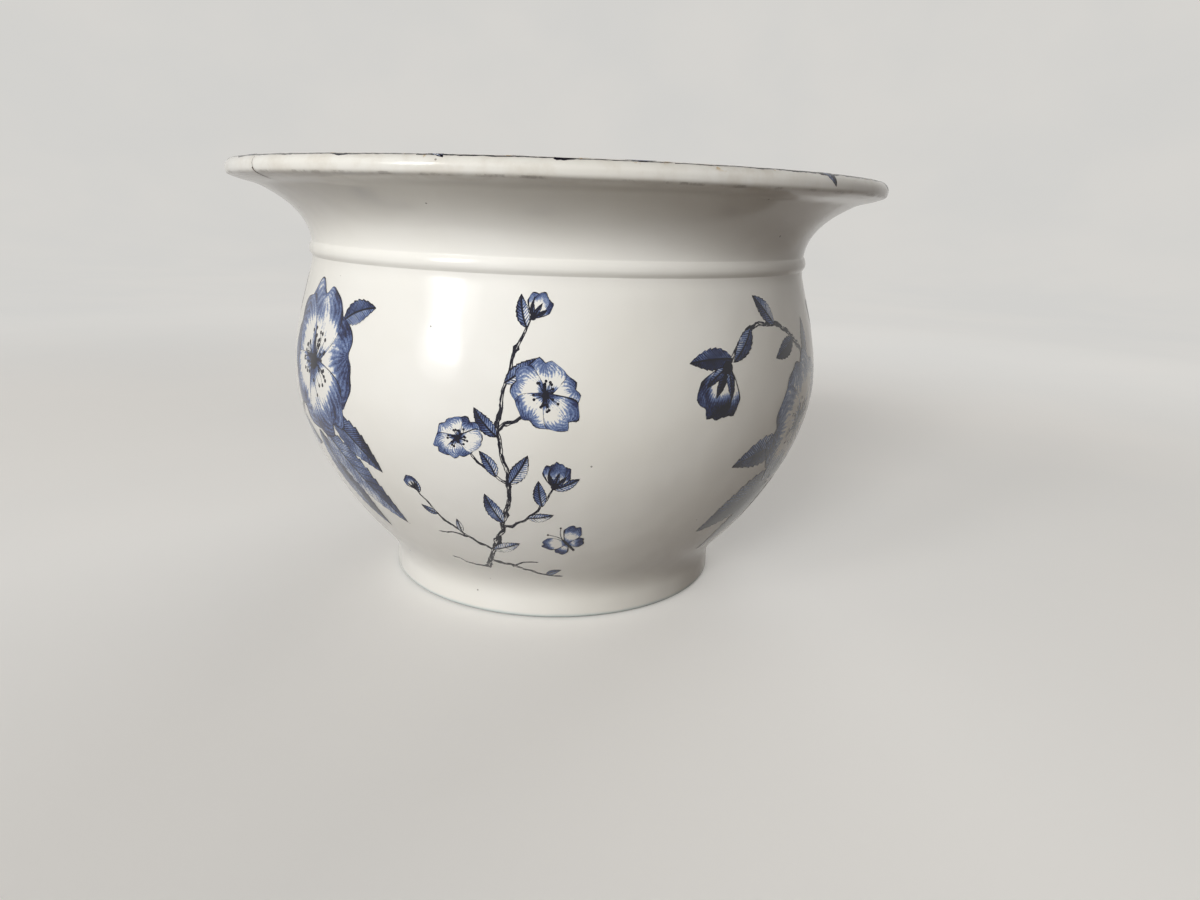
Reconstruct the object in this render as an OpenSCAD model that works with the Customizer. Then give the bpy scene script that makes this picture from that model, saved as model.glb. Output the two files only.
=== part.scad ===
// Chamber pot: a glazed pottery vessel with a turned foot, a round belly, a beaded neck,
// a wide everted rim and one strap handle.
// The frame has +Z up, its origin in the middle of the plane that the foot rests on,
// and the handle at +Y.

/* [Whole pot] */
// Height from the resting plane to the top of the lip
pot_h = 150; // [144:1:170]
// Diameter over the lip
rim_d = 232; // [220:1:260]
// Thickness of the wall of the belly and the neck
wall_t = 4.8; // [3.6:0.1:6]

/* [Foot] */
// Diameter of the foot at its waist, where the bowl leaves it
foot_d = 128.6; // [124:0.2:140]
// Height of the foot from the resting plane to its waist
foot_h = 15.4; // [13:0.2:20]
// How far the rounded lower edge draws in under the foot
foot_round_w = 3.8; // [1.5:0.1:6]
// Thickness of the foot's wall at its waist
foot_wall_t = 8.8; // [6:0.2:12]
// Height over which the foot's lower edge is rounded
foot_round_h = 9; // [3:0.5:11]
// Depth of the hollow inside the foot, up to the floor of the bowl
foot_recess = 9; // [5:0.5:11]

/* [Bowl] */
// Diameter of the belly at its widest
belly_d = 195.6; // [185:0.2:212]
// Height of the widest part of the belly
belly_z = 80; // [70:1:88]
// Thickness of the floor
floor_t = 6; // [4.5:0.5:9]
// Height over which the floor sweeps up into the wall
floor_blend_h = 7; // [4:0.5:12]
// Angle from upright at which the belly leaves the foot
foot_lean = 58; // [45:1:66]
// Straightness of the belly just above the foot
low_reach = 10; // [5:0.5:18]
// Fullness of the belly just below its widest part
low_pull = 28; // [14:0.5:36]
// Fullness of the shoulder just above the widest part
shoulder_pull = 16; // [8:0.5:26]
// Length over which the shoulder straightens into the neck
neck_pull = 7.5; // [4:0.5:16]

/* [Neck and rim] */
// Outer diameter of the neck, at the groove under the bead
neck_d = 180.4; // [174:0.2:186]
// Height of the groove under the bead
neck_z = 120; // [114:0.5:124]
// Height of the bead
bead_h = 5; // [3.5:0.1:6.5]
// How far the bead stands out from the neck
bead_proud = 1.4; // [0.8:0.1:2.2]
// Thickness of the rim at the rounded lip
lip_t = 4.5; // [3.6:0.1:6]
// Angle of the rim above the horizontal, at the lip
rim_angle = 29; // [15:1:36]
// Height over which the neck stays upright before it flares
flare_pull = 13.4; // [8:0.2:17]
// Length over which the rim runs straight out to the lip
flare_reach = 3.6; // [1:0.2:8]

/* [Handle] */
// Width of the strap in the middle of the loop
handle_w = 21; // [16:0.5:28]
// Thickness of the strap in the middle of the loop
handle_t = 8.5; // [7:0.5:11]
// Height of the middle of the upper terminal
handle_top_z = 104; // [98:0.5:108]
// Height of the middle of the lower terminal
handle_bottom_z = 46; // [40:0.5:56]
// How far the loop stands out past the widest part of the belly
handle_reach = 42; // [34:0.5:50]
// How far the upper arm climbs as it leaves the belly
handle_rise = 15; // [6:0.5:20]
// How far the lower arm drops as it comes back to the belly
handle_drop = 3; // [0:0.5:10]
// Extra width of the strap at its terminals
terminal_extra_w = 7; // [2:0.5:12]
// Extra thickness of the strap at its terminals
terminal_extra_t = 2.5; // [1:0.5:5]
// Length over which the terminals spread
terminal_len = 18; // [10:1:26]

/* [Slip joints of the handle] */
// How far the slip spreads over the belly around a terminal
slip_w = 3; // [1.5:0.1:5]
// How far the slip climbs along the strap
slip_len = 6; // [3:0.5:9]
// Thickness of the slip at its edge on the strap
slip_edge = 0.5; // [0.3:0.1:1]

/* [Hidden] */
$fn = 240;

glaze = [0.94, 0.92, 0.87];
glaze_shade = [0.88, 0.86, 0.81];
slip_white = [0.90, 0.88, 0.83];

// Steps along a curve of the turned outline
curve_steps = 20;
// Steps along a small rounded edge
edge_steps = 8;
// Sections along the strap, and points round one section
strap_rings = 30;
strap_sides = 20;
slip_rings = 5;
// Squareness of the strap's section: 2 is an ellipse, more is boxier
strap_power = 2.6;
// Length of strap inside the wall before the terminal is cut to the belly
handle_bury = wall_t;

waist_r = foot_d / 2;
rest_r = waist_r - foot_round_w;
foot_in_r = waist_r - foot_wall_t;
floor_z = foot_recess + floor_t;
belly_r = belly_d / 2;
neck_r = neck_d / 2;
neck_in_r = neck_r - wall_t;
bead_top_z = neck_z + bead_h;
lip_r = lip_t / 2;
lip_middle = [rim_d / 2 - lip_r, pot_h - lip_r];
lip_low = lip_middle + lip_r * [sin(rim_angle), -cos(rim_angle)];

function bezier(p, t) =
    p[0] * pow(1 - t, 3) + 3 * p[1] * t * pow(1 - t, 2) + 3 * p[2] * t * t * (1 - t) + p[3] * pow(t, 3);

function bezier_heading(p, t) =
    let (d = (p[1] - p[0]) * pow(1 - t, 2) + 2 * (p[2] - p[1]) * t * (1 - t) + (p[3] - p[2]) * t * t)
    d / norm(d);

function left_of(d) = [-d[1], d[0]];

function curve(p) = [for (i = [0:curve_steps]) bezier(p, i / curve_steps)];

// The curve moved to its left, by a distance that goes from the first to the last
function curve_beside(p, first, last) = [
    for (i = [0:curve_steps])
        let (t = i / curve_steps)
        bezier(p, t) + left_of(bezier_heading(p, t)) * (first + (last - first) * t)
];

function backwards(points) = [for (i = [len(points) - 1:-1:0]) points[i]];

// Outlines are pairs of radius and height
belly_low = [
    [waist_r, foot_h],
    [waist_r, foot_h] + low_reach * [sin(foot_lean), cos(foot_lean)],
    [belly_r, belly_z - low_pull],
    [belly_r, belly_z]
];
belly_high = [
    [belly_r, belly_z],
    [belly_r, belly_z + shoulder_pull],
    [neck_r, neck_z - neck_pull],
    [neck_r, neck_z]
];
flare = [
    [neck_r, bead_top_z],
    [neck_r, bead_top_z + flare_pull],
    lip_low - flare_reach * [cos(rim_angle), sin(rim_angle)],
    lip_low
];
bowl_outside = concat(curve(belly_low), [for (i = [1:curve_steps]) curve(belly_high)[i]]);

// Inside of the bowl above the floor's sweep, from the bottom up
wall_inside = [
    for (p = concat(curve_beside(belly_low, wall_t, wall_t), curve_beside(belly_high, wall_t, wall_t)))
        if (p[1] > floor_z + floor_blend_h && norm(p - [belly_r - wall_t, belly_z]) > 0.001) p
];
sweep_top = wall_inside[0];
sweep_slope = wall_inside[1] - wall_inside[0];
sweep_corner = sweep_top - sweep_slope * (sweep_top[1] - floor_z) / sweep_slope[1];
sweep_start = [sweep_corner[0] - norm(sweep_top - sweep_corner), floor_z];
floor_sweep = [
    for (i = [0:edge_steps - 1])
        let (t = i / edge_steps)
        sweep_start * pow(1 - t, 2) + 2 * sweep_corner * t * (1 - t) + sweep_top * t * t
];

// Outer radius of the bowl at a height
function bowl_r(z) = lookup(z, [for (p = bowl_outside) [p[1], p[0]]]);

// The strap's middle line, as pairs of distance from the axis and height
handle_top_y = bowl_r(handle_top_z) - handle_bury;
handle_bottom_y = bowl_r(handle_bottom_z) - handle_bury;
handle_loop_y = belly_r + handle_reach - handle_t / 2;
handle_arm_y = (handle_loop_y - (handle_top_y + handle_bottom_y) / 8) / 0.75;
handle_path = [
    [handle_top_y, handle_top_z],
    [handle_arm_y, handle_top_z + handle_rise],
    [handle_arm_y, handle_bottom_z - handle_drop],
    [handle_bottom_y, handle_bottom_z]
];

function near_terminal(p) =
    exp(-pow(norm(p - handle_path[0]) / terminal_len, 2))
    + exp(-pow(norm(p - handle_path[3]) / terminal_len, 2));

function rounded(c) = sign(c) * pow(abs(c), 2 / strap_power);

// One section across the strap, made larger all round by grow
function strap_section(t, grow) =
    let (
        p = bezier(handle_path, t),
        across = left_of(bezier_heading(handle_path, t)),
        half_w = (handle_w + terminal_extra_w * near_terminal(p)) / 2 + grow,
        half_t = (handle_t + terminal_extra_t * near_terminal(p)) / 2 + grow
    )
    [
        for (i = [0:strap_sides - 1])
            let (a = 360 * i / strap_sides, q = p + across * half_t * rounded(sin(a)))
            [half_w * rounded(cos(a)), q[0], q[1]]
    ];

// A closed solid through sections that have the same number of points
module swept(sections) {
    sides = len(sections[0]);
    last = len(sections) - 1;
    walls = [
        for (k = [0:last - 1], i = [0:sides - 1])
            let (j = (i + 1) % sides, a = k * sides, b = (k + 1) * sides)
            each [[a + i, a + j, b + j], [a + i, b + j, b + i]]
    ];
    first_cap = [for (i = [sides - 1:-1:0]) i];
    last_cap = [for (i = [0:sides - 1]) last * sides + i];
    polyhedron([for (s = sections) each s], concat(walls, [first_cap, last_cap]));
}

module strap() {
    swept([for (k = [0:strap_rings]) strap_section(k / strap_rings, 0)]);
}

// The space inside the belly's outer face, which cuts the terminals to seat on it
module belly_space() {
    rotate_extrude() polygon(concat([[0, foot_h]], bowl_outside, [[0, neck_z]]));
}

// A collar of slip round one terminal, between the belly and the strap.
// The end is 0 at the upper terminal and 1 at the lower one.
module slip_collar(end) {
    inner = handle_path[end * 3];
    arm = handle_path[1 + end];
    reach_t = (handle_bury + slip_len) / (3 * norm(arm - inner));
    sections = [
        for (k = [0:slip_rings])
            let (
                step = k / slip_rings,
                clear = max(0, step * (handle_bury + slip_len) - handle_bury) / slip_len
            )
            strap_section(abs(end - step * reach_t), slip_edge + (slip_w - slip_edge) * pow(1 - clear, 2))
    ];
    difference() {
        swept(end == 0 ? sections : backwards(sections));
        strap();
        belly_space();
    }
}

module foot_ring() {
    round_edge = [
        for (i = [0:edge_steps])
            let (a = 90 * i / edge_steps)
            [rest_r + (waist_r - rest_r) * sin(a), foot_round_h * (1 - cos(a))]
    ];
    color(glaze_shade) rotate_extrude()
        polygon(concat([[foot_in_r, 0]], round_edge, [[waist_r, foot_h], [foot_in_r, foot_recess]]));
}

module bowl() {
    underside = [[0, foot_recess], [foot_in_r, foot_recess]];
    color(glaze) rotate_extrude()
        polygon(concat(underside, bowl_outside, backwards(wall_inside), backwards(floor_sweep), [[0, floor_z]]));
}

module neck_bead() {
    bead_r = (pow(bead_h / 2, 2) + pow(bead_proud, 2)) / (2 * bead_proud);
    color(glaze) rotate_extrude() intersection() {
        translate([neck_r + bead_proud - bead_r, neck_z + bead_h / 2]) circle(bead_r);
        translate([neck_r, neck_z]) square([2 * bead_proud, bead_h]);
    }
}

module flared_rim() {
    lip = [
        for (i = [1:2 * edge_steps - 1])
            let (a = rim_angle - 90 + 90 * i / edge_steps)
            lip_middle + lip_r * [cos(a), sin(a)]
    ];
    upper_face = backwards(curve_beside(flare, wall_t, lip_t));
    color(glaze) rotate_extrude()
        polygon(concat([[neck_r, neck_z]], curve(flare), lip, upper_face, [[neck_in_r, neck_z]]));
}

module handle() {
    color(glaze) difference() {
        strap();
        belly_space();
    }
}

module handle_upper_slip() {
    color(slip_white) slip_collar(0);
}

module handle_lower_slip() {
    color(slip_white) slip_collar(1);
}

foot_ring();
bowl();
neck_bead();
flared_rim();
handle();
handle_upper_slip();
handle_lower_slip();
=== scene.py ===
# Chamber pot: the glazed body, the handle and the blue print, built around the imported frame.
# Shapes are worked out in millimetres and become metres when a mesh is made.
import math

import bpy
import numpy as np
from mathutils import Matrix, Vector


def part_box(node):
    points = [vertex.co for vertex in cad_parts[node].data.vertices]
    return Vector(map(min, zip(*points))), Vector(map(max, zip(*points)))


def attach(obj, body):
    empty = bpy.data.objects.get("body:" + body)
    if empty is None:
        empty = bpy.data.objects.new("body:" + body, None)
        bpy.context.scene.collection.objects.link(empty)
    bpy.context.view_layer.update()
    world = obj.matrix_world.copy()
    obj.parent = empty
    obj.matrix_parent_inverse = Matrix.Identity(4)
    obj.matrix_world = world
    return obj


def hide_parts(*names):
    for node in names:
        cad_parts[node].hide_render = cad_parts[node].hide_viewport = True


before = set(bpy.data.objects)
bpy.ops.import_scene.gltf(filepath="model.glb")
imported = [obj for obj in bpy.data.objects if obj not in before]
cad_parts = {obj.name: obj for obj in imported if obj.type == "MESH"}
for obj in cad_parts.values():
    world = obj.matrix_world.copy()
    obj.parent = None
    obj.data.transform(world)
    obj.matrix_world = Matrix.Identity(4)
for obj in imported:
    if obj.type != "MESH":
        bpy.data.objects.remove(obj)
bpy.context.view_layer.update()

MM = 0.001
TINY = 1e-6

# Sizes that the frame gives
WAIST_R, _, FOOT_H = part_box("foot_ring")[1] / MM
BELLY_R = (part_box("bowl")[1] / MM).x
BEAD_R, _, BEAD_TOP_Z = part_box("neck_bead")[1] / MM
NECK_Z = (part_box("flared_rim")[0] / MM).z
RIM_R, _, POT_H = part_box("flared_rim")[1] / MM
LOOP_Y = (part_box("handle")[1] / MM).y

# Sizes of the turned outline that a box can't give, in millimetres and degrees
WALL = 4.8
FOOT_WALL = 8.8
FOOT_ROUND_W = 3.4
FOOT_ROUND_H = 7.0
HEEL_W = 2.2
HEEL_H = 1.3
WAIST_IN = 1.3
RECESS_Z = 9.0
FLOOR_Z = 15.0
FLOOR_SWEEP = 7.0
FOOT_LEAN = 58
LOW_REACH = 10.0
LOW_PULL = 28.0
BELLY_Z = 80.0
SHOULDER_PULL = 16.0
NECK_PULL = 7.5
BEAD_PROUD = 1.4
LIP_T = 4.5
RIM_ANGLE = 29
FLARE_PULL = 13.4
FLARE_REACH = 3.6
WAIST_UP = 10.5
BEAD_CREST = 1.4
BEAD_STANDS = 0.75
BEAD_SEAT = 1.6
GROOVE_DEPTH = 0.15
GROOVE_DROP = 0.75
GROOVE_H = 7.5
CREASE_DEPTH = 0.15
CREASE_DROP = 0.8
LIP_NOSE_DROP = 3.2
LIP_TOP_IN = 3.0
LIP_TOP_DROP = 0.25
LIP_UNDER_IN = 3.4
LIP_UNDER_DROP = 6.2
LIP_UNDER_LEAN = 18
LIP_LOW_DROP = 4.75
LIP_RUN = 10.0
LINE_LEAN = 60.0
UNDER_STEPS = 30

NECK_R = BEAD_R - BEAD_PROUD
NECK_IN_R = NECK_R - WALL
FOOT_IN_R = WAIST_R - FOOT_WALL
REST_R = WAIST_R - FOOT_ROUND_W
GROOVE_R = NECK_R - GROOVE_DEPTH
GROOVE_Z = NECK_Z - GROOVE_DROP
CREASE_R = NECK_R - CREASE_DEPTH
CREASE_Z = BEAD_TOP_Z - CREASE_DROP
TURN_STEPS = 256
SHARP_ANGLE = math.radians(55)

# Sizes of the handle
STRAP_W = 21.0
STRAP_T = 8.5
STRAP_POWER = 2.6
STRAP_TOP_Z = 104.0
STRAP_BOTTOM_Z = 46.0
STRAP_RISE = 15.0
STRAP_DROP = 3.0
TERMINAL_W = 7.0
TERMINAL_T = 2.5
TERMINAL_LEN = 18.0
STRAP_SUNK = 1.0
SLIP_REACH = 7.0
SLIP_SPREAD = 4.5
SLIP_SWELL = 0.006
SLIP_SUNK = 0.4
SLIP_LIFT = 0.03
SLIP_ROWS = 11

# How the kiln bent the pot, in shares of the radius, millimetres and radians
OVAL, OVAL_TURN = 0.004, 0.2
THREE_SIDED = 0.001
RIM_RISE = 0.33
RIM_TILT, RIM_TILT_TURN = 0.24, 1.19
RIM_WAVE, RIM_WAVE_TURN = 0.1, -2.74


# Turned outlines are arrays of radius and height, from which outward is to the right of the way they run.
# The bare numbers in their curves are the distances of control points from the ends.


def bezier(points, steps):
    """Points along a cubic curve, both ends included."""
    a, b, c, d = (np.array(p, float) for p in points)
    t = np.linspace(0, 1, steps + 1)[:, None]
    return a * (1 - t) ** 3 + 3 * b * t * (1 - t) ** 2 + 3 * c * t**2 * (1 - t) + d * t**3


def line(start, end, steps=1):
    t = np.linspace(0, 1, steps + 1)[:, None]
    return np.array(start, float) * (1 - t) + np.array(end, float) * t


def chained(*stretches):
    """One outline from stretches that each start where the last one ended."""
    return np.vstack([stretches[0]] + [s[1:] for s in stretches[1:]])


def unit(vectors):
    """A vector, or each row of an array, at length 1."""
    return vectors / np.linalg.norm(vectors, axis=-1, keepdims=True)


def toward(degrees):
    """The unit step at an angle from the x axis, or one for each of several angles."""
    turn = np.radians(degrees)
    return np.stack([np.cos(turn), np.sin(turn)], -1)


def outward(points):
    """Unit normals to the right of an outline."""
    heading = unit(np.gradient(points, axis=0))
    return np.stack([heading[:, 1], -heading[:, 0]], 1)


def beside(points, distance):
    """The outline moved to its left."""
    return points - outward(points) * np.reshape(distance, (-1, 1))


def lengths(path):
    """The length along a path at each of its points."""
    return np.concatenate([[0], np.cumsum(np.linalg.norm(np.diff(path, axis=0), axis=1))])


def sampled(where, length, *arrays):
    """The columns of arrays that go along a path, read at some lengths along it."""
    return [np.interp(where, length, column) for column in np.hstack(arrays).T]


def full_turn(steps):
    return np.arange(steps) * 2 * math.pi / steps


class Run:
    """A smooth stretch of outline with its normals."""

    def __init__(self, points, normals=None):
        self.points = np.array(points, float)
        self.normals = outward(self.points) if normals is None else normals

    def part(self, first, last=-1):
        """The stretch between two points, both included."""
        stop = last % len(self.points) + 1
        return Run(self.points[first:stop], self.normals[first:stop])

    def nearest(self, r, z):
        return int(np.argmin(np.hypot(self.points[:, 0] - r, self.points[:, 1] - z)))


def straight(start, end, steps=1):
    return Run(line(start, end, steps))


def belly_curves():
    """The lower and upper belly as plain curves, before the waist and the groove are softened."""
    lean = toward(90 - FOOT_LEAN)
    waist = np.array([WAIST_R, FOOT_H])
    widest = np.array([BELLY_R, BELLY_Z])
    neck = np.array([NECK_R, NECK_Z])
    low = bezier([waist, waist + LOW_REACH * lean, widest - [0, LOW_PULL], widest], 90)
    high = bezier([widest, widest + [0, SHOULDER_PULL], neck - [0, NECK_PULL], neck], 48)
    return low, high


def outside_run():
    """From the resting ring up over the foot, waist and belly to the groove under the bead."""
    low, high = belly_curves()
    rest = np.array([REST_R, 0])
    heel = np.array([REST_R + HEEL_W, HEEL_H])
    below = np.array([WAIST_R - WAIST_IN, FOOT_ROUND_H])
    corner = bezier([rest, rest + [1.3, 0], heel - [0.05, 0.8], heel], 8)
    face = bezier([heel, heel + [0, 2.2], below - [0, 2.5], below], 8)
    first = int(np.argmax(np.linalg.norm(low - low[0], axis=1) > WAIST_UP))
    above = low[first]
    climb = unit(low[first + 1] - above)
    upright = np.array([0, (FOOT_H - FOOT_ROUND_H) * 0.7])
    waist = bezier([below, below + upright, above - climb * WAIST_UP * 0.62, above], 20)
    last = int(np.argmax(high[:, 1] > GROOVE_Z - GROOVE_H))
    edge = high[last]
    groove = np.array([GROOVE_R, GROOVE_Z])
    rises = unit(high[last + 1] - high[last - 1])
    dip = bezier([edge, edge + rises * GROOVE_H * 0.45, groove - [0, 2.4], groove], 16)
    return Run(chained(corner, face, waist, low[first:], high[: last + 1], dip))


def rim_run():
    """From the groove over the bead, up the flare, round the rolled lip and down inside to the neck."""
    run_out = toward(RIM_ANGLE)
    middle = np.array([RIM_R - LIP_T / 2, POT_H - LIP_T / 2])
    groove = np.array([GROOVE_R, GROOVE_Z])
    crest = np.array([NECK_R + BEAD_STANDS, NECK_Z + BEAD_CREST])
    crease = np.array([CREASE_R, CREASE_Z])
    under = bezier([groove, groove + [0, 0.3], crest - [0, 1.1], crest], 14)
    over = bezier([crest, crest + [0, 1.3], crease + [0.45, -0.7], crease], 12)

    # The flare is the frame's own, but starts in the crease over the bead
    lip_low = middle - toward(RIM_ANGLE + 90) * LIP_T / 2
    pull = np.array([NECK_R + 0.6, BEAD_TOP_Z + FLARE_PULL])
    flare = bezier([crease, pull, lip_low - FLARE_REACH * run_out, lip_low], 80)
    upper = beside(flare, np.linspace(WALL, LIP_T, len(flare)))
    flare = flare[(flare - middle) @ run_out < -LIP_RUN]
    upper = upper[(upper - middle) @ run_out < -LIP_RUN][::-1]

    # The lip is a blunt nose, and its underside runs smoothly into the flare
    nose = np.array([RIM_R, POT_H - LIP_NOSE_DROP])
    lip_top = np.array([RIM_R - LIP_TOP_IN, POT_H - LIP_TOP_DROP])
    lip_under = np.array([RIM_R - LIP_UNDER_IN, POT_H - LIP_UNDER_DROP])
    ahead = toward(LIP_UNDER_LEAN)
    leaves = unit(flare[-1] - flare[-2])
    joins = unit(upper[1] - upper[0])
    roll = bezier([flare[-1], flare[-1] + leaves * 2.4, lip_under - ahead * 2.4, lip_under], 12)
    low_round = bezier([lip_under, lip_under + ahead * 2.8, nose - [0, 1.95], nose], 18)
    top_round = bezier([nose, nose + [0, 1.5], lip_top + [1.6, 0], lip_top], 14)
    top = bezier([lip_top, lip_top - [1.8, 0], upper[0] - joins * 1.8, upper[0]], 10)
    neck = line(upper[-1], (NECK_IN_R, NECK_Z), 4)
    return Run(chained(under, over, flare, roll, low_round, top_round, top, upper, neck))


def inside_run():
    """From the neck down the inside of the belly to the middle of the floor."""
    wall = beside(chained(*belly_curves()), WALL)[::-1]
    wall[0] = (NECK_IN_R, NECK_Z)
    wall = wall[wall[:, 1] > FLOOR_Z + FLOOR_SWEEP]
    heading = wall[-1] - wall[-2]
    corner = wall[-1] + heading * (FLOOR_Z - wall[-1][1]) / heading[1]
    start = np.array([corner[0] - np.linalg.norm(wall[-1] - corner), FLOOR_Z])
    sweep = bezier([wall[-1], (wall[-1] + 2 * corner) / 3, (start + 2 * corner) / 3, start], 14)
    return Run(chained(wall, sweep, line(start, (0, FLOOR_Z), 10)))


OUTSIDE = outside_run()
RIM = rim_run()
INSIDE = inside_run()
SEAM = OUTSIDE.nearest(WAIST_R, FOOT_H)


def warped(points):
    """The small oval, and the rise and tilt of the rim, that the pot took in the kiln, in millimetres."""
    angle = np.arctan2(points[:, 1], points[:, 0])
    height = np.clip(points[:, 2] / POT_H, 0, 1)
    swell = 1 + OVAL * height**2 * np.cos(2 * angle + OVAL_TURN) + THREE_SIDED * height * np.cos(3 * angle)
    lift = RIM_RISE + RIM_TILT * np.cos(angle + RIM_TILT_TURN) + RIM_WAVE * np.cos(3 * angle + RIM_WAVE_TURN)
    return np.stack([points[:, 0] * swell, points[:, 1] * swell, points[:, 2] + height**8 * lift], 1)


def linked(name, data):
    """A new object in the scene."""
    thing = bpy.data.objects.new(name, data)
    bpy.context.scene.collection.objects.link(thing)
    return thing


def new_object(name, points, faces, corner_normals=None, point_normals=None):
    """A smooth mesh object from points in millimetres."""
    mesh = bpy.data.meshes.new(name)
    mesh.from_pydata((np.array(points) * MM).tolist(), [], faces)
    mesh.update()
    mesh.shade_smooth()
    if corner_normals is not None:
        mesh.normals_split_custom_set(corner_normals)
    elif point_normals is not None:
        mesh.normals_split_custom_set_from_vertices(point_normals)
    else:
        mesh.set_sharp_from_angle(angle=SHARP_ANGLE)
    return linked(name, mesh)


def turned(name, runs):
    """A closed turned solid from runs that follow each other, with sharp corners between them."""
    angle = full_turn(TURN_STEPS)
    cos, sin = np.cos(angle), np.sin(angle)
    outline = chained(*[run.points for run in runs])
    closed = np.linalg.norm(outline[-1] - outline[0]) < TINY
    points, rings, faces, normals = [], [], [], []
    for r, z in outline[:-1] if closed else outline:
        count = 1 if r < TINY else TURN_STEPS
        rings.append((len(points) + np.arange(TURN_STEPS) % count).tolist())
        points.extend(zip(r * cos[:count], r * sin[:count], [z] * count))
    if closed:
        rings.append(rings[0])
    for run in runs:
        around = [np.stack([n[0] * cos, n[0] * sin, np.full(TURN_STEPS, n[1])], 1) for n in run.normals]
        for k in range(len(around) - 1):
            for j in range(TURN_STEPS):
                i = (j + 1) % TURN_STEPS
                corners = [(k, j), (k, i), (k + 1, i), (k + 1, j)]
                if rings[k][0] == rings[k][1]:
                    corners.pop(1)
                elif rings[k + 1][0] == rings[k + 1][1]:
                    corners.pop(3)
                faces.append([rings[row][step] for row, step in corners])
                normals.extend(tuple(around[row][step]) for row, step in corners)
        rings = rings[len(around) - 1 :]
    return new_object(name, warped(np.array(points)), faces, corner_normals=normals)


def finish_piece(piece, material, slot, *nodes):
    piece.data.materials.append(material)
    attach(piece, "root")
    if nodes:
        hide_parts(*nodes)


# Materials


class Nodes:
    """Short forms for wiring a material."""

    def __init__(self, name):
        self.material = bpy.data.materials.new(name)
        self.material.use_nodes = True
        self.tree = self.material.node_tree
        self.shader = self.tree.nodes["Principled BSDF"]

    def put(self, value, socket):
        if isinstance(value, bpy.types.NodeSocket):
            self.tree.links.new(value, socket)
        else:
            socket.default_value = value

    def node(self, kind, *values, **named):
        """A new node with its inputs set or linked, in order or by name."""
        node = self.tree.nodes.new("ShaderNode" + kind)
        for value, socket in zip(values, node.inputs):
            self.put(value, socket)
        for key, value in named.items():
            self.put(value, node.inputs[key])
        return node

    def place(self):
        return self.node("TexCoord").outputs["Object"]

    def math(self, operation, a, b=0.0, c=0.0):
        node = self.node("Math", a, b, c)
        node.operation = operation
        return node.outputs[0]

    def add(self, a, *others):
        for b in others:
            a = self.math("ADD", a, b)
        return a

    def minus(self, a, b):
        return self.math("SUBTRACT", a, b)

    def times(self, a, b):
        return self.math("MULTIPLY", a, b)

    def smooth(self, value, low, high):
        """0 below low and 1 above high, or the other way where high is the smaller one."""
        ends = (0.0, 1.0) if low < high else (1.0, 0.0)
        node = self.node("MapRange", value, min(low, high), max(low, high), *ends)
        node.interpolation_type = "SMOOTHSTEP"
        return node.outputs["Result"]

    def zigzag(self, value):
        """Lines that repeat with each unit: 0 in the middle of it and 0.5 at its ends."""
        return self.math("ABSOLUTE", self.minus(self.math("FRACT", value), 0.5))

    def noise(self, vector, scale, detail=2.0, roughness=0.5):
        node = self.node("TexNoise", Vector=vector, Scale=scale, Detail=detail, Roughness=roughness)
        return node.outputs["Fac"]

    def swing(self, vector, scale, detail=2.0, roughness=0.5):
        """Noise about zero."""
        return self.minus(self.noise(vector, scale, detail, roughness), 0.5)

    def patches(self, vector, scale, detail, low, high, roughness=0.5):
        """Noise gathered into patches with soft edges."""
        return self.smooth(self.noise(vector, scale, detail, roughness), low, high)

    def cells(self, vector, scale):
        """Distance to the nearest of many scattered points, and a random number for each."""
        node = self.node("TexVoronoi", Vector=vector, Scale=scale)
        return node.outputs["Distance"], self.split(node.outputs["Color"])[0]

    def split(self, vector):
        return self.node("SeparateXYZ", vector).outputs

    def join(self, x, y, z):
        return self.node("CombineXYZ", x, y, z).outputs[0]

    def off_axis(self, place):
        """Distance from the pot's axis."""
        x, y = self.split(place)[:2]
        return self.math("SQRT", self.add(self.times(x, x), self.times(y, y)))

    def attribute(self, name):
        node = self.node("Attribute")
        node.attribute_name = name
        return self.split(node.outputs["Vector"])

    def mix(self, share, a, b):
        node = self.node("Mix", share)
        node.data_type = "RGBA"
        self.put(a, node.inputs[6])
        self.put(b, node.inputs[7])
        return node.outputs[2]

    def shade(self, tint, rough):
        self.put(tint, self.shader.inputs["Base Color"])
        self.put(rough, self.shader.inputs["Roughness"])
        return self.material

    def glazed(self, tint, rough, height):
        """The material with a glassy coat, and normals from a height in metres."""
        bump = self.node("Bump", Distance=1.0, Height=height)
        self.put(bump.outputs["Normal"], self.shader.inputs["Normal"])
        self.shader.inputs["IOR"].default_value = GLAZE_IOR
        return self.shade(tint, rough)


def colour(red, green, blue):
    """A linear colour from display values of 0 to 255."""
    shares = [v / 255 for v in (red, green, blue)]
    return [s / 12.92 if s <= 0.04045 else ((s + 0.055) / 1.055) ** 2.4 for s in shares] + [1.0]


GLAZE_LIGHT = colour(236, 234, 228)
GLAZE_WARM = colour(230, 227, 218)
GLAZE_POOL = colour(172, 194, 194)
BISCUIT = colour(202, 182, 150)
BISCUIT_DARK = colour(126, 104, 80)
SPECK = colour(92, 82, 76)
STRAY_INK = colour(120, 130, 165)
LIP_STAIN = colour(206, 197, 182)
LIP_EDGE_DARK = colour(112, 98, 84)
CRACK = colour(40, 30, 24)
CRACK_PALE = colour(88, 72, 58)
INK_PALE = colour(136, 151, 182)
INK_MID = colour(86, 104, 146)
INK_DEEP = colour(36, 45, 84)
INK_DARK = colour(12, 13, 32)
FLOOR_PALE = colour(212, 211, 208)
FLOOR_WARM = colour(216, 214, 210)
FLOOR_BOUNCE = colour(76, 56, 35)
BLACK = colour(0, 0, 0)
GLAZE_IOR = 1.52


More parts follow.
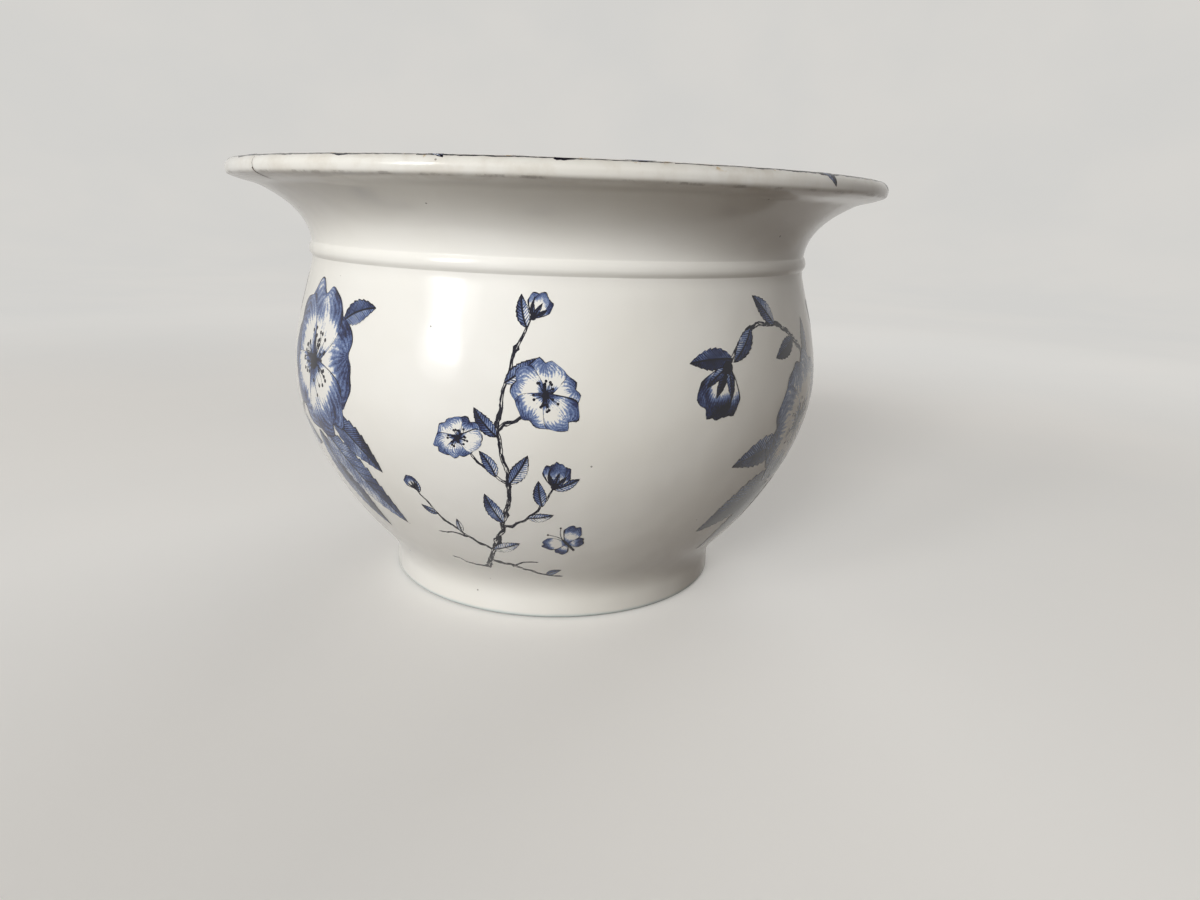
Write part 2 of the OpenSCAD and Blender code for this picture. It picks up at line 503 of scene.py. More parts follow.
def glaze_layers(n):
    """Colour, roughness and height in metres of the white glaze, which the print shares."""
    place = n.place()
    tint = n.mix(n.patches(place, 11.0, 3.0, 0.35, 0.7), GLAZE_LIGHT, GLAZE_WARM)
    tint = n.mix(n.times(n.patches(place, 70.0, 4.0, 0.45, 0.8), 0.25), tint, GLAZE_WARM)
    speck_at, speck_pick = n.cells(place, 190.0)
    speck_size = n.add(0.018, n.times(n.smooth(speck_pick, 0.88, 1.0), 0.038))
    speck_spot = n.smooth(n.minus(speck_at, speck_size), 0.02, 0.0)
    specks = n.times(speck_spot, n.smooth(speck_pick, 0.85, 0.9))
    tint = n.mix(n.times(specks, 0.75), tint, SPECK)
    stray_at, stray_pick = n.cells(place, 95.0)
    strays = n.times(n.smooth(stray_at, 0.09, 0.03), n.smooth(stray_pick, 0.9, 0.93))
    tint = n.mix(n.times(strays, 0.55), tint, STRAY_INK)
    pimple_at, pimple_pick = n.cells(place, 62.0)
    pimples = n.times(n.smooth(pimple_at, 0.045, 0.0), n.smooth(pimple_pick, 0.9, 0.94))
    rough = n.add(0.1, n.times(n.noise(place, 38.0, 4.0), 0.08))
    waves = n.times(n.noise(place, 30.0, 1.0), 0.4 * MM)
    ripples = n.times(n.noise(place, 85.0, 1.0), 0.22 * MM)
    peel = n.times(n.noise(place, 620.0, 2.0), 0.005 * MM)
    pits = n.times(specks, -0.03 * MM)
    drops = n.times(pimples, 0.16 * MM)
    return tint, rough, n.add(waves, ripples, peel, pits, drops)


def glaze_material():
    n = Nodes("white_glaze")
    return n.glazed(*glaze_layers(n))


def foot_material():
    """Glaze that pools at the foot's lower edge and is wiped off the resting ring."""
    n = Nodes("foot_glaze")
    tint, rough, height = glaze_layers(n)
    place = n.place()
    level = n.add(n.split(place)[2], n.times(n.swing(place, 90.0, 3.0), 0.8 * MM))
    tint = n.mix(n.times(n.smooth(level, 2.2 * MM, 0.5 * MM), 0.7), tint, GLAZE_POOL)
    bare = n.smooth(level, 0.5 * MM, 0.2 * MM)
    grit = n.noise(place, 900.0, 5.0, 0.65)
    clay = n.mix(n.smooth(grit, 0.35, 0.7), BISCUIT_DARK, BISCUIT)
    grain = n.times(n.times(grit, bare), 0.12 * MM)
    return n.glazed(n.mix(bare, tint, clay), n.add(rough, n.times(bare, 0.7)), n.add(height, grain))


def rim_material():
    """Glaze that is stained along the lip, darker and rougher in patches along its lower edge, and worn
    through in spots on top.
    """
    n = Nodes("rim_glaze")
    tint, rough, height = glaze_layers(n)
    place = n.place()
    z = n.split(place)[2]
    on_lip = n.smooth(n.off_axis(place), (RIM_R - 6.0) * MM, (RIM_R - 3.0) * MM)
    stain = n.times(n.patches(place, 120.0, 5.0, 0.42, 0.7, 0.6), 0.4)
    tint = n.mix(n.times(stain, on_lip), tint, LIP_STAIN)
    # Darker, rougher patches along the lip's lower edge, mixed towards a dark brown
    off_edge = n.math("ABSOLUTE", n.minus(z, (POT_H - LIP_LOW_DROP) * MM))
    at_edge = n.times(n.smooth(off_edge, 0.5 * MM, 0.15 * MM), on_lip)
    dark_edge_patches = n.times(at_edge, n.patches(place, 110.0, 5.0, 0.48, 0.64, 0.65))
    tint = n.mix(n.times(dark_edge_patches, 0.6), tint, LIP_EDGE_DARK)
    on_top = n.times(n.smooth(z, (POT_H - 1.6) * MM, (POT_H - 0.6) * MM), on_lip)
    worn = n.times(on_top, n.patches(place, 210.0, 4.0, 0.64, 0.68, 0.6))
    rough = n.add(rough, n.times(worn, 0.5), n.times(dark_edge_patches, 0.2))
    return n.glazed(n.mix(worn, tint, BISCUIT), rough, n.add(height, n.times(worn, -0.06 * MM)))


PETAL, LEAF, INK, TWIG = 0.0, 1.0, 2.0, 3.0


def print_material():
    """Blue engraving under the glaze: outlines, grained washes, streaks and white reserves.

    The shape attribute holds millimetres along, across and in from the outline of a mark. The style attribute
    holds the share along it, its tone and its kind, and the seed attribute a number of its own.
    """
    n = Nodes("blue_print")
    tint, rough, height = glaze_layers(n)
    place = n.place()
    along, across, edge = n.attribute("shape")
    share, tone, kind = n.attribute("style")
    seed = n.attribute("seed")[0]
    grain = n.swing(place, 1700.0, 3.0, 0.65)
    coarse = n.swing(place, 420.0, 2.0)
    streak = n.swing(n.join(n.times(across, 0.55), n.times(along, 0.13), seed), 1.6, 3.0)
    patch = n.swing(n.join(n.times(across, 0.09), n.times(along, 0.09), seed), 1.2, 1.0)

    # A petal is dark at its heart, washed at its tip and white between, with fine lines that fan out
    reach = n.math("ABSOLUTE", across)
    fan = n.math("DIVIDE", across, n.add(reach, edge, 0.05))
    fan_line = n.zigzag(n.add(n.times(fan, 6.5), streak))
    heart = n.times(n.smooth(share, 0.36, 0.03), 0.75)
    tip = n.times(n.smooth(share, 0.34, 0.78), n.add(tone, 0.2))
    border = n.times(n.smooth(edge, 3.0, 0.3), 0.2)
    fine = n.times(n.minus(fan_line, 0.25), 0.55)
    petal = n.add(heart, tip, border, n.times(streak, 0.4), n.times(patch, 1.3), fine, -0.1)

    # A leaf has a dark half, a pale half, hatching and veins
    half = n.times(n.smooth(across, -0.5, 0.5), 0.28)
    vein_way = n.minus(along, n.times(reach, 0.9))
    hatch_line = n.zigzag(n.add(n.times(vein_way, 1.1), n.times(streak, 0.5)))
    hatch = n.times(n.minus(hatch_line, 0.25), 0.9)
    vein_line = n.zigzag(n.times(vein_way, 0.28))
    veins = n.times(n.smooth(vein_line, 0.1, 0.02), n.smooth(edge, 0.3, 0.9))
    rib = n.smooth(reach, 0.42, 0.2)
    leaf = n.add(half, hatch, n.times(streak, 0.35), n.times(patch, 1.0), n.times(tone, 1.1))
    leaf = n.add(leaf, n.times(n.smooth(share, 0.3, 1.0), 0.18))

    is_leaf = n.math("COMPARE", kind, LEAF, 0.1)
    is_drawn = n.smooth(kind, 1.4, 1.6)
    value = n.add(n.times(petal, n.minus(1.0, is_leaf)), n.times(leaf, is_leaf))
    value = n.add(value, n.times(grain, 0.8), n.times(coarse, 0.2))

    blue = tint
    inks = ((0.16, 0.34, INK_PALE), (0.32, 0.56, INK_MID), (0.56, 0.8, INK_DEEP), (0.82, 1.1, INK_DARK))
    for low, high, shade in inks:
        blue = n.mix(n.smooth(value, low, high), blue, shade)
    vein_ink = n.math("MAXIMUM", n.times(veins, 0.75), rib)
    blue = n.mix(n.times(vein_ink, is_leaf), blue, INK_DARK)
    thick_side = n.times(n.smooth(across, -3.0, 3.0), 0.26)
    line_w = n.add(0.2, thick_side, n.times(coarse, 0.6), n.times(grain, 0.25), n.times(patch, 0.35))
    outline = n.smooth(n.minus(edge, line_w), 0.07, -0.07)
    blue = n.mix(outline, blue, INK_DARK)

    # Drawn lines are full ink, and a twig keeps white flecks between its two edges
    worn = n.times(n.smooth(n.add(grain, coarse), 0.34, 0.42), 0.5)
    drawn = n.mix(worn, INK_DARK, INK_PALE)
    bark = n.noise(n.join(n.times(across, 1.3), n.times(along, 0.22), seed), 1.5, 2.0)
    flecks = n.times(n.smooth(bark, 0.57, 0.64), n.smooth(edge, 0.22, 0.36))
    drawn = n.mix(n.times(flecks, n.math("COMPARE", kind, TWIG, 0.1)), drawn, tint)
    return n.glazed(n.mix(is_drawn, blue, drawn), rough, height)


# The print is drawn flat, in millimetres, and then laid on the glaze


class Surface:
    """A stretch of the turned outside that takes print. Height on it is the length along its outline."""

    def __init__(self, run, reference_r, zero=0):
        self.run = run
        self.length = lengths(run.points)
        self.length -= self.length[zero]
        self.reference_r = reference_r

    def leaning(self, degrees):
        """The first height past zero at which the normal points up by an angle."""
        rise = np.degrees(np.arctan2(self.run.normals[:, 1], self.run.normals[:, 0]))
        return float(self.length[np.argmax((self.length > 0) & (rise > degrees))])

    def lay(self, flat, angle, lift):
        """Points and normals for flat x and y, round the axis from the front by an angle in degrees."""
        r, z, normal_r, normal_z = sampled(flat[:, 1], self.length, self.run.points, self.run.normals)
        turn = math.radians(angle - 90) + flat[:, 0] / self.reference_r
        normals = unit(np.stack([normal_r * np.cos(turn), normal_r * np.sin(turn), normal_z], 1))
        points = np.stack([r * np.cos(turn), r * np.sin(turn), z], 1)
        return warped(points) + normals * lift, normals


def smooth_path(points, spacing=0.8):
    """A curve through given points, as evenly spaced points."""
    p = np.array(points, float)
    p = np.vstack([2 * p[0] - p[1], p, 2 * p[-1] - p[-2]])
    t = np.linspace(0, 1, 24, endpoint=False)[:, None]
    path = []
    for a, b, c, d in zip(p[:-3], p[1:-2], p[2:-1], p[3:]):
        square = 2 * a - 5 * b + 4 * c - d
        cube = 3 * b - a - 3 * c + d
        path.append(0.5 * (2 * b + (c - a) * t + square * t**2 + cube * t**3))
    path = np.vstack(path + [p[-2:-1]])
    length = lengths(path)
    steps = max(4, int(length[-1] / spacing))
    even = np.linspace(0, length[-1], steps + 1)
    return np.stack(sampled(even, length, path), 1)


def squeezed(points, flatten):
    """Flat points pressed together to a share of their size, along a heading in degrees."""
    share, heading = flatten
    way = toward(heading)
    return points + (share - 1) * (points @ way)[..., None] * way


class Sheet:
    """A sheet of printed marks. Marks of a higher layer lie over lower ones."""

    FIRST_LIFT = 0.025
    LAYER_LIFT = 0.006

    def __init__(self, seed):
        self.marks = []
        self.random = np.random.default_rng(seed)

    def mark(self, grid, along, across, edge, share, tone, kind, layer):
        seed = self.random.uniform(0, 90)
        values = (along, across, edge, share, tone, kind, seed, seed, seed)
        held = np.stack([np.broadcast_to(v, grid.shape[:2]) for v in values], 2)
        self.marks.append((grid, held, layer))

    def ribbon(self, path, side, half, across, length, tone, kind, layer):
        """A mark along a path, as wide to either side as half says."""
        offset = half * across
        grid = path[:, None] + side[:, None] * offset[:, :, None]
        length = length[:, None]
        edge = half * (1 - np.abs(across))
        self.mark(grid, length, offset, edge, length / length[-1], tone, kind, layer)

    def stroke(self, points, wide, thin, kind=INK, layer=0, wobble=0.12):
        """A line that goes from one width to another and ends in a point. A twig is knotted and crooked."""
        path = smooth_path(points)
        length = lengths(path)
        total = length[-1]
        share = length / total
        half = (wide + (thin - wide) * share) / 2
        if kind == TWIG:
            places = np.arange(0, total + 3, 3.0)
            crook = np.interp(length, places, self.random.normal(0, 0.4, len(places)))
            ends = np.clip(np.minimum(share, 1 - share) * 8, 0, 1)
            path = path - outward(path) * (crook * ends)[:, None]
            for knot in self.random.uniform(0, total, int(total / 9)):
                half = half * (1 + 0.5 * np.exp(-(((length - knot) / 0.8) ** 2)))
        half = half * np.clip((total - length) / (1.2 * thin + 0.01), 0.25, 1)
        bumps = 1 + self.random.normal(0, wobble, (2, len(path)))
        across = np.linspace(-1, 1, 5)
        edges = half[:, None] * np.where(across < 0, bumps[0][:, None], bumps[1][:, None])
        self.ribbon(path, -outward(path), edges, across, length, 1.0, kind, layer)

    def dot(self, x, y, radius, layer=24):
        side = np.linspace(-1, 1, 5)
        u, v = np.meshgrid(side, side)
        grid = np.stack([x + radius * u * np.sqrt(1 - v**2 / 2), y + radius * v * np.sqrt(1 - u**2 / 2)], 2)
        self.mark(grid, 0.0, 0.0, radius * (1 - np.maximum(abs(u), abs(v))), 0.5, 1.0, INK, layer)

    def leaf(self, x, y, heading, length, width, bend=0.0, tone=0.3, layer=4, teeth=8):
        """A toothed leaf from its stalk at x and y. Heading and bend are in degrees."""
        share = np.linspace(0, 1, 6 * teeth + 1)
        way = heading + bend * share
        steps = toward(way) * length / (len(share) - 1)
        spine = np.vstack([[0, 0], np.cumsum(steps, axis=0)[:-1]]) + [x, y]
        half = width / 2 * np.sin(math.pi * share**0.8) ** 0.9
        half = half * (1 - 0.16 * ((share * teeth) % 1.0)) + 0.04
        across = np.linspace(-1, 1, 13)
        self.ribbon(spine, toward(way + 90), half[:, None], across, share * length, tone, LEAF, layer)

    def petal(self, x, y, heading, length, width, tone=0.3, layer=10, notch=0.1, flatten=(1.0, 0.0)):
        """A broad petal from the flower's heart. Flatten squeezes the flower along a heading in degrees."""
        share = np.linspace(0, 1, max(10, int(length)))[:, None]
        across = np.linspace(-1, 1, max(11, int(width) | 1))
        phase = self.random.uniform(0, 6.3, 3)
        ripple = np.sin(5 * across + phase[0]) * 0.03 + np.sin(9 * across + phase[1]) * 0.018
        top = 1 - 0.3 * np.abs(across) ** 2.4 - notch * np.exp(-((across / 0.2) ** 2)) + ripple
        reach = length * share * (1 + (top - 1) * share**1.5)
        half = width / 2 * np.sin(math.pi * (0.07 + 0.56 * share))
        side = half * across * (1 + 0.03 * np.sin(7 * share + phase[2]))
        grid = reach[:, :, None] * toward(heading) + side[:, :, None] * toward(heading + 90)
        edge = np.minimum(half * (1 - np.abs(across)), (1 - share) * length * top)
        self.mark(squeezed(grid, flatten) + [x, y], reach, side, edge, share, tone, PETAL, layer)

    def blossom(self, x, y, radius, turn=0.0, flatten=(1.0, 0.0), petals=5, tone=0.25, layer=10):
        """An open flower with notched petals, a ring of stamens and a dark heart."""
        for k in range(petals):
            heading = turn + 360 * k / petals + self.random.uniform(-5, 5)
            length = radius * self.random.uniform(0.93, 1.05)
            width = radius * 5.6 / petals * self.random.uniform(0.95, 1.1)
            shade = tone + self.random.uniform(-0.12, 0.16)
            self.petal(x, y, heading, length, width, shade, layer + k, 0.12, flatten)
        top = layer + petals
        heart = np.array([x, y])
        for k in range(int(10 + radius)):
            way = toward(self.random.uniform(0, 360))
            tip = squeezed(way * radius * self.random.uniform(0.2, 0.42), flatten)
            middle = tip * 0.55 + self.random.normal(0, 0.03 * radius, 2)
            self.stroke([heart, heart + middle, heart + tip], 0.3, 0.22, INK, top)
            self.dot(*(heart + tip), 0.28 + 0.014 * radius, top + 1)
        self.dot(x, y, radius * 0.1, top + 1)

    def bud(self, x, y, heading, length, tone=0.45, layer=10):
        """A closed flower with its calyx, from the top of its stalk."""
        for lean, size in ((-20, 0.92), (20, 0.92), (0, 1.0)):
            self.petal(x, y, heading + lean, length * size, length * 0.62, tone, layer, 0.02)
            layer += 1
        for lean in (-44, 38, -8):
            self.leaf(x, y, heading + lean, length * 0.62, length * 0.2, lean * -0.5, 0.6, layer, 3)
        self.dot(*(0.1 * toward(heading) + [x, y]), length * 0.12, layer + 1)

    def butterfly(self, x, y, size, heading, layer=14):
        """Two pairs of wings, a body and feelers."""
        for side in (-1, 1):
            self.petal(x, y, heading + side * 118, size * 0.72, size * 0.6, 0.42, layer, 0.05)
            self.petal(x, y, heading + side * 58, size, size * 0.72, 0.5, layer + 1, 0.08)
        ahead = toward(heading)
        aside = toward(heading + 90)
        middle = np.array([x, y])
        body = [middle - ahead * size * 0.55, middle, middle + ahead * size * 0.35]
        self.stroke(body, size * 0.1, size * 0.13, INK, layer + 2)
        for side in (-1, 1):
            bent = middle + ahead * size * 0.55 + aside * side * size * 0.1
            tip = middle + ahead * size * 0.8 + aside * side * size * 0.3
            self.stroke([middle + ahead * size * 0.3, bent, tip], 0.28, 0.22, INK, layer + 2)
            self.dot(*tip, 0.4, layer + 2)

    def leafy(self, points, wide, thin, leaves, size, kind=TWIG, layer=1, first=0.15, tone=0.3):
        """A stem with leaves on alternate sides."""
        self.stroke(points, wide, thin, kind, layer)
        path = smooth_path(points)
        for k in range(leaves):
            at = first + (0.97 - first) * k / max(1, leaves - 1)
            i = min(int(at * (len(path) - 1)), len(path) - 2)
            way = path[i + 1] - path[i]
            side = 1 if k % 2 else -1
            heading = math.degrees(math.atan2(way[1], way[0])) + side * self.random.uniform(38, 62)
            length = size * self.random.uniform(0.8, 1.15)
            bend = -side * self.random.uniform(10, 35)
            shade = tone + self.random.uniform(-0.15, 0.2)
            self.leaf(*path[i], heading, length, length * 0.44, bend, shade, layer + 2 + k % 4)

    def press(self, name, surface, angle, material, slot="blue_print"):
        """The sheet as one piece that lies on the glaze."""
        points, faces, normals, held = [], [], [], []
        start = 0
        for grid, values, layer in self.marks:
            rows, columns = grid.shape[:2]
            lift = self.FIRST_LIFT + self.LAYER_LIFT * layer
            laid, up = surface.lay(grid.reshape(-1, 2), angle, lift)
            corner = (np.arange(rows - 1)[:, None] * columns + np.arange(columns - 1)).ravel()
            quads = np.stack([corner, corner + 1, corner + columns + 1, corner + columns], 1)
            a, b, d = laid[quads[:, 0]], laid[quads[:, 1]], laid[quads[:, 3]]
            facing = np.einsum("ij,ij->i", np.cross(b - a, d - a), up[quads[:, 0]]).sum()
            faces.extend((quads[:, ::-1] if facing < 0 else quads) + start)
            start += len(laid)
            points.append(laid)
            normals.append(up)
            held.append(values.reshape(-1, values.shape[2]))
        corners = [f.tolist() for f in faces]
        piece = new_object(name, np.vstack(points), corners, point_normals=np.vstack(normals).tolist())
        held = np.vstack(held).astype(np.float32)
        for number, key in enumerate(("shape", "style", "seed")):
            attribute = piece.data.attributes.new(key, "FLOAT_VECTOR", "POINT")
            attribute.data.foreach_set("vector", held[:, 3 * number : 3 * number + 3].ravel())
        finish_piece(piece, material, slot)


# The pieces of the pot


def pot_pieces(glaze, foot_glaze, rim_glaze):
    bead_end = RIM.nearest(CREASE_R, CREASE_Z)
    waist = OUTSIDE.points[SEAM]
    bead_edge = RIM.points[bead_end]
    foot_low = (FOOT_IN_R, 0)
    foot_high = (FOOT_IN_R, RECESS_Z)
    groove = (GROOVE_R, GROOVE_Z)
    neck_in = (NECK_IN_R, NECK_Z)
    seat_low = (NECK_R - BEAD_SEAT, NECK_Z)
    seat_high = (NECK_R - BEAD_SEAT, bead_edge[1])
    foot = [straight(foot_low, (REST_R, 0), 3), OUTSIDE.part(0, SEAM)]
    foot += [straight(waist, foot_high), straight(foot_high, foot_low, 4)]
    bowl = [straight((0, RECESS_Z), foot_high, 6), straight(foot_high, waist), OUTSIDE.part(SEAM)]
    bowl += [straight(groove, seat_low), straight(seat_low, neck_in), INSIDE]
    bead = [RIM.part(0, bead_end), straight(bead_edge, seat_high)]
    bead += [straight(seat_high, seat_low), straight(seat_low, groove)]
    rim = [RIM.part(bead_end), straight(neck_in, seat_low)]
    rim += [straight(seat_low, seat_high), straight(seat_high, bead_edge)]
    pieces = [("foot_ring", foot, foot_glaze), ("bowl", bowl, glaze)]
    pieces += [("neck_bead", bead, glaze), ("flared_rim", rim, rim_glaze)]
    for name, runs, material in pieces:
        finish_piece(turned(name + "_glazed", runs), material, "white_glaze", name)


def bowl_radius(z):
    belly = OUTSIDE.points[SEAM:]
    return np.interp(z, belly[:, 1], belly[:, 0])


class Strap:
    """The handle's surface: distance t along its middle line, and angle round its section."""

    SIDES = 40
    ROWS = 90
    STEP = 0.05
    PATH_STEPS = 400
    DEEPEST = 30.0
    HALVINGS = 40

    def __init__(self):
        top_y = bowl_radius(STRAP_TOP_Z) - WALL
        bottom_y = bowl_radius(STRAP_BOTTOM_Z) - WALL
        loop_y = LOOP_Y - STRAP_T / 2
        # Halfway along such a curve the ends weigh an eighth each, and the arms three quarters together
        arm_y = (loop_y - (top_y + bottom_y) / 8) / 0.75
        ends = [(top_y, STRAP_TOP_Z), (arm_y, STRAP_TOP_Z + STRAP_RISE)]
        ends += [(arm_y, STRAP_BOTTOM_Z - STRAP_DROP), (bottom_y, STRAP_BOTTOM_Z)]
        self.path = bezier(ends, self.PATH_STEPS)
        self.length = lengths(self.path)
        self.total = self.length[-1]
        self.left = -outward(self.path)

    def point(self, distance, angle):
        y, z, left_y, left_z = sampled(distance, self.length, self.path, self.left)
        near = 0
        for end in (self.path[0], self.path[-1]):
            near = near + np.exp(-((np.hypot(y - end[0], z - end[1]) / TERMINAL_LEN) ** 2))
        half_w = (STRAP_W + TERMINAL_W * near) / 2
        half_t = (STRAP_T + TERMINAL_T * near) / 2
        cos, sin = np.cos(angle), np.sin(angle)
        wide = half_w * np.sign(cos) * np.abs(cos) ** (2 / STRAP_POWER)
        thick = half_t * np.sign(sin) * np.abs(sin) ** (2 / STRAP_POWER)
        return np.stack([wide, y + left_y * thick, z + left_z * thick], -1)

    def meets_belly(self, angle, end):
        """Distance from an end, 0 or 1, at which one line along the strap comes out of the belly."""
        inside, outside = 0.0, self.DEEPEST
        for _ in range(self.HALVINGS):
            middle = (inside + outside) / 2
            p = self.point(middle if end == 0 else self.total - middle, angle)
            if math.hypot(p[0], p[1]) < bowl_radius(p[2]):
                inside = middle
            else:
                outside = middle
        return outside

    def face_at(self, x, y):
        """The outer face at x across the strap and at the distance y along it."""
        round_to = np.arccos(np.clip(np.abs(x) / (STRAP_W / 2), 0, 0.97) ** (STRAP_POWER / 2))
        return self.point(y, np.where(x < 0, math.pi - round_to, round_to))

    def lay(self, flat, angle, lift):
        """Points and normals on the outer face. It has one place, so the angle isn't used."""
        x, y = flat.T
        across = self.face_at(x + self.STEP, y) - self.face_at(x - self.STEP, y)
        along = self.face_at(x, y + self.STEP) - self.face_at(x, y - self.STEP)
        normals = unit(np.cross(across, along))
        return warped(self.face_at(x, y)) + normals * lift, normals


def ring_faces(rows, sides, closed=False):
    """Faces from each ring of points to the next, and from the last to the first where it is closed."""
    faces = []
    for k in range(rows if closed else rows - 1):
        row, above = k * sides, (k + 1) % rows * sides
        for i in range(sides):
            j = (i + 1) % sides
            faces.append([row + i, row + j, above + j, above + i])
    return faces


def handle_pieces(glaze, strap):
    sides = Strap.SIDES
    angles = full_turn(sides)
    starts = {end: np.array([strap.meets_belly(a, end) for a in angles]) for end in (0, 1)}
    first = starts[0] - STRAP_SUNK
    last = strap.total - starts[1] + STRAP_SUNK
    points = [strap.point(first + (last - first) * share, angles) for share in np.linspace(0, 1, Strap.ROWS)]
    faces = ring_faces(Strap.ROWS, sides)
    faces += [list(range(sides - 1, -1, -1)), [(Strap.ROWS - 1) * sides + i for i in range(sides)]]
    handle = new_object("handle_glazed", warped(np.vstack(points)), faces)
    finish_piece(handle, glaze, "white_glaze", "handle")
    for end, name in ((0, "handle_upper_slip"), (1, "handle_lower_slip")):
        slip_piece(name, strap, starts[end], angles, end, glaze)


def slip_piece(name, strap, starts, angles, end, glaze):
    """The slip fillet round one terminal, hollow-cheeked between the strap and the belly."""

    def at(distance):
        return strap.point(distance if end == 0 else strap.total - distance, angles)

    corner = at(starts)
    on_strap = at(starts + SLIP_REACH)
    on_strap += (on_strap - on_strap.mean(0)) * SLIP_SWELL
    away = corner - corner.mean(0)
    turn = np.arctan2(corner[:, 1], corner[:, 0])
    slope = bowl_radius(corner[:, 2] + 0.5) - bowl_radius(corner[:, 2] - 0.5)
    out = unit(np.stack([np.cos(turn), np.sin(turn), -slope], 1))
    away = unit(away - out * np.einsum("ij,ij->i", away, out)[:, None])
    on_belly = corner + away * SLIP_SPREAD
    turn = np.arctan2(on_belly[:, 1], on_belly[:, 0])
    r = bowl_radius(on_belly[:, 2]) + SLIP_LIFT
    on_belly[:, 0], on_belly[:, 1] = r * np.cos(turn), r * np.sin(turn)
    rows = []
    for t in np.linspace(0, 1, SLIP_ROWS):
        rows.append(on_strap * (1 - t) ** 2 + 2 * corner * t * (1 - t) + on_belly * t**2)
    rows.append(corner - out * SLIP_SUNK)
    rows.append(rows[0] * 0.5 + corner * 0.5 - 0.3 * out)
    points = np.vstack(rows)
    faces = ring_faces(len(rows), Strap.SIDES, closed=True)
    if end == 0:
        faces = [f[::-1] for f in faces]
    piece = new_object(name + "_glazed", warped(points), faces)
    finish_piece(piece, glaze, "white_glaze", name)


# The printed sprays


def front_spray(surface, ink):
    sheet = Sheet(11)
    sheet.leafy([(-15, 8), (-10, 19), (-3, 34), (1, 52), (-2, 70), (1, 88), (7, 103)], 2.0, 0.8, 6, 12)
    sheet.leafy([(-3, 34), (5, 38), (12, 45), (15, 52)], 1.1, 0.6, 3, 9, layer=0, first=0.4)
    sheet.leafy([(1, 52), (-6, 57), (-12, 64)], 1.1, 0.7, 2, 9, layer=0, first=0.3)
    sheet.leafy([(-9, 21), (-18, 27), (-27, 36), (-33, 46)], 1.2, 0.6, 3, 7, layer=0, first=0.4)
    sheet.stroke([(-18, 27), (-25, 28), (-31, 27)], 0.9, 0.5, TWIG)
    sheet.stroke([(-2, 70), (5, 74), (11, 79)], 1.2, 0.8, TWIG)
    sheet.stroke([(-12, 14), (-1, 11), (12, 6), (20, 5)], 1.5, 0.8, TWIG)
    sheet.stroke([(-14, 10), (-23, 9), (-32, 12)], 1.2, 0.6, TWIG)
    sheet.stroke([(-3, 11), (3, 14), (9, 15)], 0.9, 0.6, TWIG)
    sheet.leaf(12, 6, 38, 8, 3.6, -20, 0.3)
    sheet.blossom(12, 81, 11.5, 20, (0.86, 40))
    sheet.blossom(-14, 67, 8.5, 60, (0.8, 120))
    sheet.bud(15, 52, 80, 9)
    sheet.bud(7.5, 103, 62, 8)
    sheet.bud(-33, 46, 118, 5.5)
    sheet.butterfly(20, 27, 9.5, 128)
    sheet.press("print_front", surface, -9, ink)


def left_spray(surface, ink):
    sheet = Sheet(23)
    sheet.leafy([(-64, 6), (-42, 26), (-16, 42), (10, 54), (34, 70)], 3.0, 2.0, 6, 24)
    sheet.leafy([(-16, 42), (-36, 60), (-52, 82)], 1.8, 1.1, 4, 20, layer=0)
    sheet.leaf(46, 60, -44, 44, 17, -8, 0.3, 8, 12)
    sheet.leaf(40, 58, -66, 42, 15, 8, 0.45, 7, 12)
    sheet.leaf(54, 66, -26, 27, 12, -24, 0.5, 9, 9)
    sheet.leaf(0, 50, -104, 34, 14, 10, 0.3, 6, 10)
    sheet.leaf(60, 97, 34, 16, 8, -30, 0.4, 8)
    sheet.leaf(8, 94, 128, 22, 11, -20, 0.45, 8)
    sheet.blossom(44, 82, 27, 14, (0.88, 10), tone=0.42, layer=12)
    sheet.blossom(-14, 68, 23, 48, (0.85, 110), tone=0.38, layer=12)
    sheet.blossom(-56, 90, 16, 5, (0.8, 60), tone=0.38, layer=12)
    sheet.bud(-36, 106, 70, 9, 0.5, 12)
    sheet.press("print_left", surface, -80, ink)


def right_spray(surface, ink):
    sheet = Sheet(37)
    sheet.leafy([(60, 6), (40, 22), (14, 34), (-12, 44), (-30, 54)], 3.0, 2.0, 6, 24, tone=0.45)
    hanging = [(-18, 52), (-34, 82), (-54, 98), (-74, 99), (-85, 88)]
    sheet.leafy(hanging, 2.2, 1.2, 5, 15, layer=0, first=0.4, tone=0.5)
    sheet.leafy([(14, 34), (34, 40), (46, 50)], 1.8, 1.0, 3, 18, layer=0)
    sheet.stroke([(-4, 44), (4, 62), (13, 80)], 1.8, 1.0, TWIG)
    sheet.leaf(-42, 46, 204, 42, 18, 12, 0.72, 8, 12)
    sheet.leaf(-40, 40, 230, 38, 15, 10, 0.82, 9, 11)
    sheet.leaf(-50, 58, 176, 28, 12, 24, 0.5, 7, 9)
    sheet.leaf(-30, 40, 262, 28, 12, 6, 0.55, 6, 9)
    sheet.leaf(30, 86, 20, 26, 11, 30, 0.4, 7, 9)
    sheet.leaf(2, 92, 140, 24, 10, 20, 0.4, 7, 9)
    sheet.blossom(-38, 64, 25, 30, (0.88, 160), tone=0.46, layer=12)
    sheet.blossom(14, 82, 20, 8, (0.88, 70), tone=0.38, layer=12)
    sheet.blossom(50, 52, 19, 40, (0.8, 20), tone=0.38, layer=12)
    sheet.bud(-85, 88, -112, 17, 0.7, 12)
    sheet.press("print_right", surface, 82, ink)


def back_sprigs(surface, ink):
    """Small sprigs either side of the handle."""
    for number, angle in enumerate((147, -147)):
        sheet = Sheet(70 + number)
        sheet.leafy([(-6, 40), (0, 54), (-3, 70), (4, 86)], 1.3, 0.7, 7, 11)
        sheet.blossom(3, 76, 8.5, 20, (0.85, 60))
        sheet.bud(4, 87, 75, 8)
        sheet.press(f"print_back_{number + 1}", surface, angle, ink)


